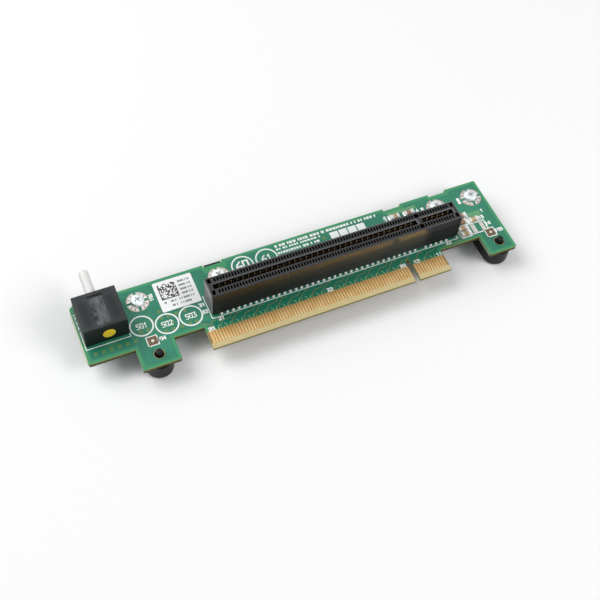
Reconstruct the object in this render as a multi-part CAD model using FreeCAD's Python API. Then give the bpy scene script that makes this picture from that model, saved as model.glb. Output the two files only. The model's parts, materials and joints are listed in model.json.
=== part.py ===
import FreeCAD, Part
import math
import os

# A 16-lane riser card with a lid switch, lying with its slot upwards. All sizes are in millimetres.
# Origin: centre line of the key notch, on the finger edge, in the plane of the board's top face.
# +X runs along the board from the key notch towards the short finger group, +Y runs from the
# finger edge to the far edge, and +Z points up out of the slot.

V = FreeCAD.Vector

overcut = 1.0                 # how far a cutting shape runs past the face that it opens
coincident = 1e-6             # points nearer than this are one point

# Circuit board
board_thickness = 1.57
board_right = 38.2            # right-hand end, from the key notch
board_left = -110.3           # left-hand end, from the key notch
board_depth = 31.0            # finger edge to far edge
step_depth = 8.3              # how far the tabs and the finger tongue reach below the board's lower edge
tab_recess = 0.25             # the tabs stop this far short of the finger edge
left_tab_inset = 14.9         # left tab, from the board's left-hand end
left_tab_width = 12.6
right_tab_width = 10.2        # the right tab runs to the board's end
corner_bevel = 0.4            # small straight bevel at the corners of the tabs and ends
far_left_bevel = 1.2

# Finger tongue: standard 16-lane card edge
finger_pitch = 1.0
fingers_long_group = 71
fingers_short_group = 11
first_finger_from_key = 1.5
last_finger_to_edge = 1.1
key_notch_width = 1.9
key_notch_depth = 8.5
key_end_radius = 0.93         # round end of the notch, just short of half its width
bevel_length = 1.8
bevel_depth = 0.4
finger_width = 0.7
finger_top = 6.2              # upper end of the plated fingers, from the finger edge
plating_thickness = 0.05

# Routed recesses in the far edge
recess_width = 6.7
recess_depth = 0.95
recess_centres = (-61.7, 4.9, 22.7)

# Screws, from the photograph's pads
screw_row_inset = 6.0         # screw line, from the far edge
guide_left_inset = 21.05      # left guide's centre line, from the board's left-hand end
guide_right_inset = 4.9       # right guide's centre line, from the board's right-hand end
brace_left_x = -61.4
brace_right_x = 19.7
screw_shank_radius = 1.25
screw_head_radius = 2.3
screw_head_height = 1.6
guide_screw_length = 6.5      # under the head
board_hole_clearance = 0.15
screw_end_proud = 0.4         # how far the middle screws come out below the brace

# Card slot: standard 16-lane vertical housing
slot_length = 89.0
slot_width = 7.5
slot_top = 11.25
slot_centre_y = 14.83
slot_key_x = 5.8              # key rib, in line with the key notch of the card that goes in
slot_key_to_end = 14.5        # key rib to the right-hand end of the housing
slot_standoff = 0.8
slot_edge_chamfer = 0.25
card_fit = 0.2                # end play of the card in the groove, each end
mouth_width = 1.75
mouth_lead = 0.3
lip_height = 1.0
groove_depth = 9.1
shoulder_height = 1.5
chamber_width = 2.7
key_fit = 0.2
window_inner = 1.6            # contact windows, from the slot's middle plane
window_outer = 2.95
window_width = 0.5
window_depth = 3.0
end_window_width = 1.15
end_window_growth = 0.15
foot_length = 2.0
foot_inset = 1.1

# Slot contacts
contact_width = 0.4
contact_thickness = 0.22
contact_tail_inner = 1.25     # tail rows, from the slot's middle plane
contact_tail_outer = 3.4
contact_tail_reach = 1.05     # tails below the board
contact_root_height = 0.9     # where an outer tail turns in, above the housing's underside
contact_tip = 0.66            # free end, from the slot's middle plane
contact_tip_drop = 1.1        # free end, below the slot's top and just under the lip

# Lid switch
switch_inset = 1.1            # from the board's left-hand end
switch_near = 14.75
switch_width = 14.1
switch_depth = 13.8
switch_height = 8.4
switch_wall = 1.3
switch_edge_chamfer = 0.35
switch_base_thickness = 1.2
switch_base_clearance = 0.1
band_width = 5.0              # shallow panel in the top of the cover
band_inset_near = 0.9
band_inset_far = 2.2
band_depth = 0.15
slit_width = 0.35
slit_inset = 1.9
slit_depth = 0.7
plunger_inset = 6.65          # plunger's axis, from the cover's left side
plunger_z = 4.2
plunger_radius = 1.65
plunger_clearance = 0.05
plunger_reach = 10.95         # out of the cover at rest
plunger_travel = 4.0
plunger_head_width = 6.0
plunger_head_length = 1.6
plunger_head_rise = 2.0       # above the plunger's axis
plunger_stop_gap = 0.1
stem_width = 1.6              # square stem inside the spring
stem_end_gap = 2.0            # left in front of the stem with the plunger pushed fully in
spring_coil_radius = 1.75
spring_wire = 0.35
spring_turns = 4
spring_steps = 6              # straight steps a turn
terminal_width = 0.8
terminal_thickness = 0.3
terminal_spacing = 4.4
terminal_pin = 0.6
terminal_reach = 1.3          # below the board
terminal_inset = 1.0
pin_clearance = 0.05
wiper_thickness = 0.15
wiper_length = 1.3
wiper_lift = 0.08             # running gap over the terminals
wiper_drop = 0.45

# Guides under the tabs
guide_radius = 4.6
guide_bottom = -8.0
guide_pin_y = 4.35
guide_pin_offset = 0.3        # locating pin, to the right of the guide's centre line
guide_pin_radius = 1.1
guide_pin_height = 1.8        # above the board
tab_hole_radius = 1.6

# Brace under the slot
brace_half_width = 4.2        # far side and ends, from the screws
brace_tail_gap = 2.46         # near side, from the far row of contact tails
brace_height = 3.6
brace_wall = 1.2
brace_boss_half = 3.0
brace_end_chamfer = 2.2
brace_ribs = 3
brace_rib_thickness = 1.0
brace_ear_width = 5.8
brace_ear_thickness = 0.6
brace_ear_drop = 0.15         # top of the ear, below the board's top face
brace_ear_clearance = 0.15

# Paper label
label_left = -82.95
label_near = 18.06
label_width = 13.2
label_depth = 11.7
label_thickness = 0.1

# Small parts on the board
chip_length = 3.2
chip_width = 1.6
chip_height = 1.1
chip_cap_length = 0.5
chip_cap_skin = 0.05
right_tan_chips = ((-9.4, 10.9), (-9.4, 13.2), (-3.9, 15.4))    # from the right guide's centre line
right_brown_chips = ((-8.4, 15.8), (-7.1, 18.3))                # and from the finger edge
far_tan_chips = ((3.9, 4.8),)                                   # from the key notch
far_brown_chips = ((9.65, 4.9),)                                # and from the far edge
test_land_size = 3.0
left_test_land = (-0.15, 9.5)     # from the left guide's centre line, and from the finger edge
right_test_land = (-0.65, 8.7)
bare_land_near = 10.4
bare_land_depth = 3.5
bare_lands = ((-6.2, -4.6), (-2.7, -1.3))    # from the right guide's centre line


# Values worked out from the ones above
board_underside = -board_thickness
lower_edge = step_depth
left_tab_start = board_left + left_tab_inset
left_tab_end = left_tab_start + left_tab_width
right_tab_start = board_right - right_tab_width
tongue_left = -(first_finger_from_key + (fingers_long_group - 1) * finger_pitch + last_finger_to_edge)
tongue_right = first_finger_from_key + (fingers_short_group - 1) * finger_pitch + last_finger_to_edge
screw_row = board_depth - screw_row_inset
guide_left_x = board_left + guide_left_inset
guide_right_x = board_right - guide_right_inset
slot_right = slot_key_x + slot_key_to_end
slot_left = slot_right - slot_length
groove_left = slot_key_x + tongue_left - card_fit
groove_right = slot_key_x + tongue_right + card_fit
switch_left = board_left + switch_inset
switch_right = switch_left + switch_width
plunger_x = switch_left + plunger_inset
switch_far = switch_near + switch_depth
plunger_stop_y = switch_far - switch_wall - plunger_stop_gap
plunger_head_back = plunger_stop_y - plunger_head_length
stem_length = plunger_head_back - switch_near - switch_wall - plunger_travel - stem_end_gap
terminal_top = switch_base_thickness + terminal_thickness
wiper_top = terminal_top + wiper_lift + wiper_drop + wiper_thickness
brace_bottom = board_underside - brace_height
far_recess_edge = board_depth - recess_depth
tan_chips = [(guide_right_x + x, y) for x, y in right_tan_chips]
tan_chips += [(x, board_depth - y) for x, y in far_tan_chips]
brown_chips = [(guide_right_x + x, y) for x, y in right_brown_chips]
brown_chips += [(x, board_depth - y) for x, y in far_brown_chips]


def box(x0, x1, y0, y1, z0, z1):
    """A block between two corners."""
    return Part.makeBox(x1 - x0, y1 - y0, z1 - z0, V(x0, y0, z0))


def upright(x, y, radius, z0, z1):
    """A round post or hole along Z."""
    return Part.makeCylinder(radius, z1 - z0, V(x, y, z0), V(0, 0, 1))


def rounded_face(corners, z):
    """A flat face at height z from corners (x, y, radius), each rounded by its own tangent arc."""
    edges = []
    joints = []
    for i, (x, y, radius) in enumerate(corners):
        here = V(x, y, z)
        back = V(corners[i - 1][0], corners[i - 1][1], z) - here
        ahead = V(corners[(i + 1) % len(corners)][0], corners[(i + 1) % len(corners)][1], z) - here
        back.normalize()
        ahead.normalize()
        half = back.getAngle(ahead) / 2
        middle = (back + ahead).normalize()
        start = here + back * (radius / math.tan(half))
        end = here + ahead * (radius / math.tan(half))
        joints.append((start, end))
        if radius > 0:
            crown = here + middle * (radius / math.sin(half) - radius)
            edges.append(Part.Arc(start, crown, end).toShape())
    for i, (start, end) in enumerate(joints):
        after = joints[(i + 1) % len(joints)][0]
        if end.distanceToPoint(after) > coincident:
            edges.append(Part.makeLine(end, after))
    return Part.Face(Part.Wire(Part.__sortEdges__(edges)))


def slab(corners, z0, z1):
    """A plate with rounded corners between two heights."""
    return rounded_face(corners, z0).extrude(V(0, 0, z1 - z0))


def strip_outline(line, thickness):
    """Corners of a strip of even thickness along a bent line of (a, b) points, with mitred bends."""
    left = []
    right = []
    for i, (a, b) in enumerate(line):
        before = line[max(i - 1, 0)]
        after = line[min(i + 1, len(line) - 1)]
        d1 = V(a - before[0], b - before[1], 0) if i else V(after[0] - a, after[1] - b, 0)
        d2 = V(after[0] - a, after[1] - b, 0) if i < len(line) - 1 else d1
        n1 = V(-d1.y, d1.x, 0).normalize()
        n2 = V(-d2.y, d2.x, 0).normalize()
        mitre = (n1 + n2).normalize()
        reach = thickness / 2 / mitre.dot(n1)
        left.append((a + mitre.x * reach, b + mitre.y * reach))
        right.append((a - mitre.x * reach, b - mitre.y * reach))
    return left + right[::-1]


def finger_positions():
    """X of every finger of the card edge, from the key notch."""
    short = [first_finger_from_key + i * finger_pitch for i in range(fingers_short_group)]
    long = [-first_finger_from_key - i * finger_pitch for i in range(fingers_long_group)]
    return short + long


def stadium(x, y0, y1, radius, z):
    """A face with two straight sides along Y and a round end about each of two centres."""
    corners = [
        (x - radius, y0 - radius, radius),
        (x + radius, y0 - radius, radius),
        (x + radius, y1 + radius, radius),
        (x - radius, y1 + radius, radius),
    ]
    return rounded_face(corners, z)


def bevelled(x, y, x_before, y_before, x_after, y_after):
    """A corner cut straight across: its two points, given as offsets from the sharp corner."""
    return [(x + x_before, y + y_before, 0), (x + x_after, y + y_after, 0)]


def make_circuit_board():
    """Glass-fibre board: outline with two tabs, finger tongue, key notch, recesses and its holes."""
    half_key = key_notch_width / 2
    corners = bevelled(board_left, lower_edge, 0, corner_bevel, corner_bevel, 0)
    corners += [(left_tab_start, lower_edge, 0)]
    corners += bevelled(left_tab_start, tab_recess, 0, corner_bevel, corner_bevel, 0)
    corners += bevelled(left_tab_end, tab_recess, -corner_bevel, 0, 0, corner_bevel)
    corners += [
        (left_tab_end, lower_edge, 0),
        (tongue_left, lower_edge, 0),
        (tongue_left, 0, 0),
        (-half_key, 0, 0),
        (-half_key, key_notch_depth, key_end_radius),
        (half_key, key_notch_depth, key_end_radius),
        (half_key, 0, 0),
        (tongue_right, 0, 0),
        (tongue_right, lower_edge, 0),
        (right_tab_start, lower_edge, 0),
    ]
    corners += bevelled(right_tab_start, tab_recess, 0, corner_bevel, corner_bevel, 0)
    corners += bevelled(board_right, tab_recess, -corner_bevel, 0, 0, corner_bevel)
    corners += bevelled(board_right, board_depth, 0, -corner_bevel, -corner_bevel, 0)
    for centre in sorted(recess_centres, reverse=True):
        for side, y in ((1, board_depth), (1, far_recess_edge), (-1, far_recess_edge), (-1, board_depth)):
            corners.append((centre + side * recess_width / 2, y, 0))
    corners += bevelled(board_left, board_depth, far_left_bevel, 0, 0, -far_left_bevel)
    board = slab(corners, board_underside, 0)

    tools = []
    for face_z, inward in ((0, -1), (board_underside, 1)):
        bevel = Part.makePolygon([
            V(tongue_left - overcut, -overcut, face_z - inward * overcut),
            V(tongue_left - overcut, bevel_length, face_z),
            V(tongue_left - overcut, 0, face_z + inward * bevel_depth),
            V(tongue_left - overcut, -overcut, face_z + inward * bevel_depth),
            V(tongue_left - overcut, -overcut, face_z - inward * overcut),
        ])
        tools.append(Part.Face(bevel).extrude(V(tongue_right - tongue_left + 2 * overcut, 0, 0)))

    holes = [(x + guide_pin_offset, guide_pin_y, tab_hole_radius) for x in (guide_left_x, guide_right_x)]
    for x in (guide_left_x, brace_left_x, brace_right_x, guide_right_x):
        holes.append((x, screw_row, screw_shank_radius + board_hole_clearance))
    for x, y, radius in holes:
        tools.append(upright(x, y, radius, board_underside - overcut, overcut))
    return board.cut(Part.makeCompound(tools))


def make_edge_fingers(z0, z1):
    """One face's row of gold-plated fingers."""
    half = finger_width / 2
    fingers = [box(x - half, x + half, bevel_length, finger_top, z0, z1) for x in finger_positions()]
    return Part.makeCompound(fingers)


def make_slot_housing():
    """Moulded slot: card groove with lips, contact chamber, key rib, window rows and feet."""
    y = slot_centre_y
    body = box(slot_left, slot_right, y - slot_width / 2, y + slot_width / 2, slot_standoff, slot_top)
    top_edges = [e for e in body.Edges if all(abs(v.Z - slot_top) < coincident for v in e.Vertexes)]
    body = body.makeChamfer(slot_edge_chamfer, top_edges)

    half_mouth = mouth_width / 2
    half_chamber = chamber_width / 2
    floor_z = slot_top - groove_depth
    shoulder_z = floor_z + shoulder_height
    lip_z = slot_top - lip_height
    lead = box(
        groove_left - mouth_lead, groove_right + mouth_lead,
        y - half_mouth - mouth_lead, y + half_mouth + mouth_lead,
        slot_top - mouth_lead, slot_top + overcut)
    lead_z = slot_top - mouth_lead
    lead_edges = [e for e in lead.Edges if all(abs(v.Z - lead_z) < coincident for v in e.Vertexes)]
    lead = lead.makeChamfer(mouth_lead, lead_edges)
    tools = [
        box(groove_left, groove_right, y - half_mouth, y + half_mouth, floor_z, slot_top + overcut),
        box(groove_left, groove_right, y - half_chamber, y + half_chamber, shoulder_z, lip_z),
        lead,
    ]
    rib = key_notch_width / 2 - key_fit
    body = body.cut(Part.makeCompound(tools))
    key = box(slot_key_x - rib, slot_key_x + rib, y - half_chamber, y + half_chamber, floor_z, slot_top)
    key_top = [e for e in key.Edges if all(abs(v.Z - slot_top) < coincident for v in e.Vertexes)]
    key_edges = [e for e in key_top if abs(e.Vertexes[0].X - e.Vertexes[-1].X) < coincident]
    body = body.fuse(key.makeChamfer(mouth_lead, key_edges))

    windows = []
    for side in (-1, 1):
        for x in finger_positions():
            windows.append(window(slot_key_x + x, window_width / 2, side, 0))
        for x in (groove_left - end_window_width / 2, slot_key_x, groove_right + end_window_width / 2):
            windows.append(window(x, end_window_width / 2, side, end_window_growth))
    body = body.cut(Part.makeCompound(windows))

    feet = []
    for x in (slot_left + foot_length / 2, slot_key_x, slot_right - foot_length / 2):
        half = slot_width / 2 - foot_inset
        feet.append(box(x - foot_length / 2, x + foot_length / 2, y - half, y + half, 0, slot_standoff))
    return body.fuse(feet).removeSplitter()


def window(x, half, side, growth):
    """A contact window sunk into the slot's top, near (-1) or far (+1) of the groove."""
    a = slot_centre_y + side * (window_inner - growth)
    b = slot_centre_y + side * (window_outer + growth)
    return box(x - half, x + half, min(a, b), max(a, b), slot_top - window_depth, slot_top + overcut)


def inner_contact():
    """Outline (u, z) of an inner contact: one strip that leans from its tail to its tip at the card."""
    half = contact_thickness / 2
    tail_z = board_underside - contact_tail_reach
    tip_z = slot_top - contact_tip_drop
    return [
        (contact_tail_inner + half, tail_z),
        (contact_tail_inner - half, tail_z),
        (contact_tip, tip_z),
        (contact_tip + contact_thickness, tip_z),
    ]


def outer_contact():
    """Outline (u, z) of an outer contact: straight tail, then a beam that narrows to its tip at the card."""
    half = contact_thickness / 2
    tail_z = board_underside - contact_tail_reach
    bend_z = slot_standoff + contact_root_height
    return [
        (contact_tail_outer + half, tail_z),
        (contact_tail_outer - half, tail_z),
        (contact_tail_outer - half, bend_z),
        (contact_tip, slot_top - contact_tip_drop),
        (contact_tail_outer + half, bend_z),
    ]


def make_slot_contacts(side):
    """One row of spring contacts: even pins have their tails in the outer row, odd pins in the inner row."""
    outlines = {0: outer_contact(), 1: inner_contact()}
    contacts = []
    pins = [(i + 1, x) for i, x in enumerate(sorted(finger_positions(), reverse=True))]
    for pin, x in pins:
        start = slot_key_x + x - contact_width / 2
        points = [V(start, slot_centre_y + side * u, z) for u, z in outlines[pin % 2]]
        face = Part.Face(Part.makePolygon(points + points[:1]))
        contacts.append(face.extrude(V(contact_width, 0, 0)))
    return Part.makeCompound(contacts)


def make_switch_cover():
    """Switch cover: a box open below, with the plunger's bore in its far wall and a panel in its top."""
    cover = box(switch_left, switch_right, switch_near, switch_far, 0, switch_height)
    top_edges = [e for e in cover.Edges if all(abs(v.Z - switch_height) < coincident for v in e.Vertexes)]
    cover = cover.makeChamfer(switch_edge_chamfer, top_edges)
    middle = (switch_left + switch_right) / 2
    inside = box(
        switch_left + switch_wall, switch_right - switch_wall,
        switch_near + switch_wall, switch_far - switch_wall,
        -overcut, switch_height - switch_wall)
    bore = Part.makeCylinder(
        plunger_radius + plunger_clearance, switch_wall + 2 * overcut,
        V(plunger_x, switch_far - switch_wall - overcut, plunger_z), V(0, 1, 0))
    band = box(
        middle - band_width / 2, middle + band_width / 2,
        switch_near + band_inset_near, switch_far - band_inset_far,
        switch_height - band_depth, switch_height + overcut)
    slit = box(
        middle - band_width / 2, middle + band_width / 2,
        switch_far - slit_inset, switch_far - slit_inset + slit_width,
        switch_height - slit_depth, switch_height + overcut)
    return cover.cut(Part.makeCompound([inside, bore, band, slit]))


def terminal_positions():
    """X of the switch's two terminals, each side of the plunger."""
    return (plunger_x - terminal_spacing / 2, plunger_x + terminal_spacing / 2)


def terminal_pin_y():
    """Y of the terminals' solder pins."""
    return switch_near + switch_wall + terminal_inset + terminal_pin / 2


def make_switch_base():
    """Switch base: a plate inside the cover's walls, slotted for the terminals' pins."""
    inset = switch_wall + switch_base_clearance
    base = box(
        switch_left + inset, switch_right - inset,
        switch_near + inset, switch_far - inset,
        0, switch_base_thickness)
    half = terminal_pin / 2 + pin_clearance
    slots = [
        box(x - half, x + half, terminal_pin_y() - half, terminal_pin_y() + half,
            -overcut, switch_base_thickness + overcut)
        for x in terminal_positions()
    ]
    return base.cut(Part.makeCompound(slots))


def make_switch_terminals():
    """Two stamped terminals: a flat rail on the base and a pin down through the board."""
    rails = []
    half_pin = terminal_pin / 2
    for x in terminal_positions():
        rail = box(
            x - terminal_width / 2, x + terminal_width / 2,
            terminal_pin_y() - half_pin, plunger_head_back + wiper_length,
            switch_base_thickness, terminal_top)
        pin = box(
            x - half_pin, x + half_pin, terminal_pin_y() - half_pin, terminal_pin_y() + half_pin,
            board_underside - terminal_reach, switch_base_thickness)
        rails.append(rail.fuse(pin).removeSplitter())
    return Part.makeCompound(rails)


def make_switch_plunger():
    """White plunger: a round rod, and a square head inside the cover with a stem for the spring."""
    length = switch_far + plunger_reach - plunger_stop_y
    rod = Part.makeCylinder(plunger_radius, length, V(plunger_x, plunger_stop_y, plunger_z), V(0, 1, 0))
    head = box(
        plunger_x - plunger_head_width / 2, plunger_x + plunger_head_width / 2,
        plunger_head_back, plunger_stop_y, wiper_top, plunger_z + plunger_head_rise)
    half = stem_width / 2
    stem = box(
        plunger_x - half, plunger_x + half, plunger_head_back - stem_length, plunger_head_back,
        plunger_z - half, plunger_z + half)
    return rod.fuse([head, stem]).removeSplitter()


def make_switch_spring():
    """Return spring between the cover's near wall and the plunger's head, round the stem."""
    half = spring_wire / 2
    start = switch_near + switch_wall + half
    length = plunger_head_back - half - start
    steps = spring_turns * spring_steps
    rings = []
    for i in range(steps + 1):
        angle = 2 * math.pi * i / spring_steps
        y = start + length * i / steps
        section = []
        for out, along in ((-half, -half), (half, -half), (half, half), (-half, half)):
            r = spring_coil_radius + out
            section.append(V(plunger_x + r * math.cos(angle), y + along, plunger_z + r * math.sin(angle)))
        rings.append(section)
    faces = [Part.Face(Part.makePolygon(ring + ring[:1])) for ring in (rings[0], rings[-1])]
    for a, b in zip(rings, rings[1:]):
        for k in range(4):
            n = (k + 1) % 4
            faces.append(Part.Face(Part.makePolygon([a[k], a[n], b[n], a[k]])))
            faces.append(Part.Face(Part.makePolygon([a[k], b[n], b[k], a[k]])))
    return Part.Solid(Part.makeShell(faces))


def make_switch_wiper():
    """Sprung bridge under the plunger's head that joins the two terminals."""
    foot = terminal_top + wiper_lift + wiper_thickness / 2
    crown = wiper_top - wiper_thickness / 2
    inner = terminal_spacing / 2 - terminal_width
    outer = plunger_head_width / 2
    touch = terminal_spacing / 2
    line = [(-outer, crown), (-touch, foot), (-inner, crown), (inner, crown), (touch, foot), (outer, crown)]
    outline = strip_outline(line, wiper_thickness)
    points = [V(plunger_x + a, plunger_head_back, b) for a, b in outline]
    return Part.Face(Part.makePolygon(points + points[:1])).extrude(V(0, wiper_length, 0))


def make_guide(x):
    """Moulded guide: obround block with a locating pin, into which its screw cuts its own thread."""
    height = board_underside - guide_bottom
    block = stadium(x, guide_pin_y, screw_row, guide_radius, guide_bottom).extrude(V(0, 0, height))
    pin = upright(x + guide_pin_offset, guide_pin_y, guide_pin_radius, board_underside, guide_pin_height)
    return block.fuse(pin)


def make_support_brace():
    """Moulded brace under the slot: a ribbed trough, solid at its screws, with an ear in the left recess."""
    near = slot_centre_y + contact_tail_outer + contact_thickness / 2 + brace_tail_gap
    far = screw_row + brace_half_width
    left = brace_left_x - brace_half_width
    right = brace_right_x + brace_half_width
    w = brace_wall
    deck_z = board_underside - w
    body = box(left, right, near, far, brace_bottom, board_underside)
    ends = [e for e in body.Edges if abs(e.Vertexes[0].Z - e.Vertexes[-1].Z) > brace_height / 2]
    body = body.makeChamfer(brace_end_chamfer, ends)
    trough_left = brace_left_x + brace_boss_half
    trough_right = brace_right_x - brace_boss_half
    body = body.cut(box(trough_left, trough_right, near + w, far - w, brace_bottom - overcut, deck_z))
    added = []
    span = (trough_right - trough_left) / (brace_ribs + 1)
    half = brace_rib_thickness / 2
    for i in range(brace_ribs):
        x = trough_left + (i + 1) * span
        added.append(box(x - half, x + half, near + w, far - w, brace_bottom, deck_z))
    ear_y = far_recess_edge + brace_ear_clearance
    ear_x = recess_centres[0]
    ear_left = ear_x - brace_ear_width / 2
    ear_right = ear_x + brace_ear_width / 2
    ear_far = ear_y + brace_ear_thickness
    added.append(box(ear_left, ear_right, far, ear_far, deck_z, board_underside))
    added.append(box(ear_left, ear_right, ear_y, ear_far, deck_z, -brace_ear_drop))
    return body.fuse(added).removeSplitter()


def make_screw(x, length):
    """Machine screw: a round head on a plain shank."""
    return upright(x, screw_row, screw_head_radius, 0, screw_head_height).fuse(
        upright(x, screw_row, screw_shank_radius, -length, 0))


def make_screws():
    """The four screws: two into the guides and two through the brace."""
    through = board_thickness + brace_height + screw_end_proud
    screws = [make_screw(x, guide_screw_length) for x in (guide_left_x, guide_right_x)]
    screws += [make_screw(x, through) for x in (brace_left_x, brace_right_x)]
    return Part.makeCompound(screws)


def make_bare_lands():
    """Copper test squares on the tabs and two tinned lands with no component."""
    half = test_land_size / 2
    centres = [
        (guide_left_x + left_test_land[0], left_test_land[1]),
        (guide_right_x + right_test_land[0], right_test_land[1]),
    ]
    lands = [box(x - half, x + half, y - half, y + half, 0, plating_thickness) for x, y in centres]
    for x0, x1 in bare_lands:
        near = bare_land_near
        lands.append(box(
            guide_right_x + x0, guide_right_x + x1, near, near + bare_land_depth, 0, plating_thickness))
    return Part.makeCompound(lands)


def make_label():
    """Paper label stuck to the board."""
    right = label_left + label_width
    return box(label_left, right, label_near, label_near + label_depth, 0, label_thickness)


def make_chip_bodies(centres):
    """Ceramic bodies of the chip components, lying along X."""
    half_l = chip_length / 2 - chip_cap_length
    half_w = chip_width / 2 - chip_cap_skin
    return Part.makeCompound([
        box(x - half_l, x + half_l, y - half_w, y + half_w, chip_cap_skin, chip_height - chip_cap_skin)
        for x, y in centres
    ])


def make_chip_caps(centres):
    """Tinned end caps of the chip components."""
    caps = []
    for x, y in centres:
        for side in (-1, 1):
            a = x + side * (chip_length / 2 - chip_cap_length)
            b = x + side * chip_length / 2
            caps.append(box(min(a, b), max(a, b), y - chip_width / 2, y + chip_width / 2, 0, chip_height))
    return Part.makeCompound(caps)


parts = {
    "circuit_board": make_circuit_board(),
    "edge_fingers_front": make_edge_fingers(0, plating_thickness),
    "edge_fingers_back": make_edge_fingers(board_underside - plating_thickness, board_underside),
    "slot_housing": make_slot_housing(),
    "slot_contacts_near": make_slot_contacts(-1),
    "slot_contacts_far": make_slot_contacts(1),
    "switch_cover": make_switch_cover(),
    "switch_base": make_switch_base(),
    "switch_terminals": make_switch_terminals(),
    "switch_plunger": make_switch_plunger(),
    "switch_spring": make_switch_spring(),
    "switch_wiper": make_switch_wiper(),
    "guide_left": make_guide(guide_left_x),
    "guide_right": make_guide(guide_right_x),
    "support_brace": make_support_brace(),
    "screws": make_screws(),
    "bare_lands": make_bare_lands(),
    "label": make_label(),
    "tan_chips": make_chip_bodies(tan_chips),
    "brown_chips": make_chip_bodies(brown_chips),
    "chip_end_caps": make_chip_caps(tan_chips + brown_chips),
}

os.makedirs("parts", exist_ok=True)
for name, shape in parts.items():
    shape.exportStep("parts/" + name + ".step")
    box_size = shape.BoundBox
    print(f"{name:20s} solids {len(shape.Solids):3d}  valid {shape.isValid()}  volume {shape.Volume:9.2f}  "
          f"x {box_size.XMin:.2f} {box_size.XMax:.2f}  y {box_size.YMin:.2f} {box_size.YMax:.2f}  "
          f"z {box_size.ZMin:.2f} {box_size.ZMax:.2f}")
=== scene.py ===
import bpy
import bmesh
import json
import math
import random
from mathutils import Matrix, Vector

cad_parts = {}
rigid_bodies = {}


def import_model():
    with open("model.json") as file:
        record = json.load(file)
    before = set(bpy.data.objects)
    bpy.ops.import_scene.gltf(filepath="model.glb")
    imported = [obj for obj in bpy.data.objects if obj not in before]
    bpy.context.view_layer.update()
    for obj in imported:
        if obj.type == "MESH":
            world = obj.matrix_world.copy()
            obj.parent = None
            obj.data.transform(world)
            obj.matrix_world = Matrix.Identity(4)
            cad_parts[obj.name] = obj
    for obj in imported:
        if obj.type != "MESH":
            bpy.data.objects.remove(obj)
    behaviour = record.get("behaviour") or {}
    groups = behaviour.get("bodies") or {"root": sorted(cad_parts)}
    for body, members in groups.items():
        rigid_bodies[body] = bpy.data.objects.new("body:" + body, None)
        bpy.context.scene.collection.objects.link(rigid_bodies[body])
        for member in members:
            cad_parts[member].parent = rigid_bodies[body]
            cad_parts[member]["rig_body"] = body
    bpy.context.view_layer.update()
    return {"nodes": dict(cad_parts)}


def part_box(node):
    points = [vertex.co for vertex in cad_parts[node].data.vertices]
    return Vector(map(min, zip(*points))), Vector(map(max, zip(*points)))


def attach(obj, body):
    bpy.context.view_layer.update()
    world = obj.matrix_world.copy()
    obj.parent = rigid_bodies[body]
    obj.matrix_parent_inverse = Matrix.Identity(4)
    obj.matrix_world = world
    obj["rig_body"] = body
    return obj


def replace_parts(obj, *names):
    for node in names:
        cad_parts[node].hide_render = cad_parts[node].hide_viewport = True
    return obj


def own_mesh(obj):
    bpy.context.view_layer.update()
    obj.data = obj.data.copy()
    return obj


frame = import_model()
nodes = frame["nodes"]

# Circuit board: 1.57 mm glass-fibre laminate with copper planes, under a glossy green solder mask.
# It is routed to its outline with the finger tongue and two tabs. The copper stops about 1 mm short
# of every routed edge, so the mask looks paler there, and the cut sides show the bare glass fibre.


class Wire:
    """A value, colour or vector in a finish, which Python expressions can work on."""

    def __init__(self, finish, socket):
        self.finish = finish
        self.socket = socket

    def math(self, operation, first, second=0.0):
        return self.finish.node("ShaderNodeMath", {"operation": operation}, {0: first, 1: second})

    def __add__(self, other):
        return self.math("ADD", self, other)

    def __radd__(self, other):
        return self.math("ADD", other, self)

    def __sub__(self, other):
        return self.math("SUBTRACT", self, other)

    def __rsub__(self, other):
        return self.math("SUBTRACT", other, self)

    def __mul__(self, other):
        return self.math("MULTIPLY", self, other)

    def __rmul__(self, other):
        return self.math("MULTIPLY", other, self)

    def __abs__(self):
        return self.math("ABSOLUTE", self)

    def __or__(self, other):
        return self.math("MAXIMUM", self, other)

    def fraction(self):
        """What is left of the value over the whole number below it."""
        return self.math("FRACT", self)

    def rise(self, low, high):
        """0 where the value is under low, 1 where it is over high."""
        return self.finish.node(
            "ShaderNodeMapRange", {"clamp": True}, {"Value": self, "From Min": low, "From Max": high})

    def between(self, low, high, blur=0.1):
        """1 where the value lies between low and high, with soft ends."""
        return self.rise(low - blur, low + blur) * (1 - self.rise(high - blur, high + blur))


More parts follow.
